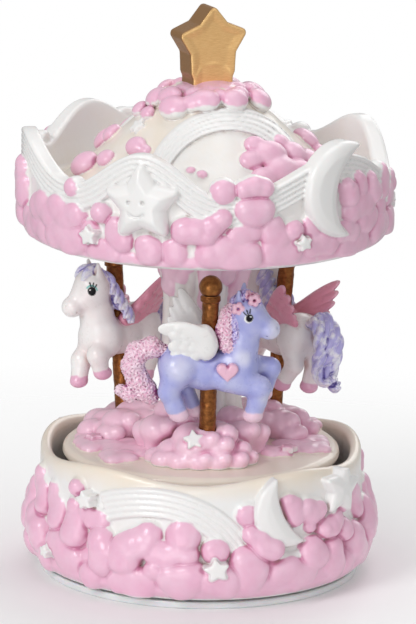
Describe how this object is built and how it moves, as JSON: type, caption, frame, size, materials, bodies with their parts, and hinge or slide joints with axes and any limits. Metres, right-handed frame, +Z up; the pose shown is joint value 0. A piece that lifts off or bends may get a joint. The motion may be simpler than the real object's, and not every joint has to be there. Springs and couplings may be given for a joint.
{
  "type": "carousel music box",
  "caption": "Carousel music box: sculpted cloud base with wind-up movement, turntable with winged horses on leaning poles, scalloped canopy and star finial.",
  "frame": {"origin": "on the table, under the turning axis, at the underside of the winding disc", "axes": "+Z up along the turning axis; -Y is the front, where the lilac horse stands"},
  "size_m": [0.1082, 0.1085, 0.1656],
  "materials": {
    "cast_resin_base": "hand-painted pearly pink clouds over cream-white cast resin, glossy",
    "board": "dark hardboard",
    "steel": "bright steel",
    "gear_plastic": "natural acetal plastic",
    "winder_plastic": "moulded pale plastic",
    "zinc_casting": "die-cast zinc alloy plate",
    "brass": "machined brass",
    "spring_steel": "blued spring steel",
    "hub_plastic": "black moulded plastic",
    "platform_cream": "pearly cream cast resin",
    "column_pearl": "pearly white resin with pink clouds",
    "cast_resin_canopy": "hand-painted pearly pink clouds over cream-white cast resin, glossy",
    "star_gold": "brushed gold paint on cast resin",
    "pole_copper": "copper-brown metallic paint, twisted",
    "cloud_pink": "pearly pink painted resin",
    "horse_lilac": "pearly lilac-blue painted resin with pink mane",
    "horse_white": "pearly white painted resin with lilac mane and pink wings"
  },
  "bodies": {
    "base": {"base_casting": "cast_resin_base", "base_cover": "board", "cover_screws": "steel", "thrust_washer": "gear_plastic", "movement_bedplate": "zinc_casting", "movement_screws": "steel", "arbor_bush": "brass", "clutch_spring": "spring_steel", "top_bridge": "brass", "bridge_screws": "steel", "bridge_bush": "brass", "outer_bracket": "brass", "bracket_screw": "steel", "governor_bridge": "brass", "comb": "steel", "comb_screws": "steel"},
    "winder": {"wind_disc": "winder_plastic", "winding_arbor": "steel", "disc_screw": "steel"},
    "turntable": {"spring_barrel": "zinc_casting", "mainspring": "spring_steel", "crown_gear": "gear_plastic", "output_shaft": "steel", "drive_hub": "hub_plastic", "turntable_platform": "platform_cream", "center_column": "column_pearl", "canopy": "cast_resin_canopy", "star_finial": "star_gold", "pole_balls": "pole_copper", "pole_front": "pole_copper", "pole_right": "pole_copper", "pole_left": "pole_copper", "cloud_mound_front": "cloud_pink", "cloud_mound_right": "cloud_pink", "cloud_mound_left": "cloud_pink", "horse_front": "horse_lilac", "horse_right": "horse_white", "horse_left": "horse_white"},
    "cylinder": {"music_cylinder": "brass", "cylinder_shaft": "steel", "cylinder_pinion": "gear_plastic", "cylinder_wheel": "gear_plastic"},
    "governor": {"governor_shaft": "steel", "governor_pinion": "gear_plastic", "worm_wheel": "gear_plastic"},
    "air_brake": {"worm_spindle": "steel", "air_brake_fan": "gear_plastic"}
  },
  "joints": [
    {"name": "turntable_spin", "type": "hinge", "parent": "base", "child": "turntable", "pos_m": [0, 0, 0.035], "axis": [0, 0, 1], "continuous": true},
    {"name": "winding", "type": "hinge", "parent": "base", "child": "winder", "pos_m": [0, 0, 0.001], "axis": [0, 0, 1], "range_deg": [0, 1620]},
    {"name": "cylinder_spin", "type": "hinge", "parent": "base", "child": "cylinder", "pos_m": [0.0245, 0, 0.019], "axis": [1, 0, 0], "continuous": true},
    {"name": "governor_spin", "type": "hinge", "parent": "base", "child": "governor", "pos_m": [0.0345, -0.009, 0.019], "axis": [1, 0, 0], "continuous": true},
    {"name": "air_brake_spin", "type": "hinge", "parent": "base", "child": "air_brake", "pos_m": [0.0357, -0.0156, 0.019], "axis": [0, 0, 1], "continuous": true}
  ],
  "couplings": [
    {"joint": "cylinder_spin", "follows": "turntable_spin", "ratio": -2.4},
    {"joint": "governor_spin", "follows": "turntable_spin", "ratio": 9.6},
    {"joint": "air_brake_spin", "follows": "turntable_spin", "ratio": 192}
  ]
}
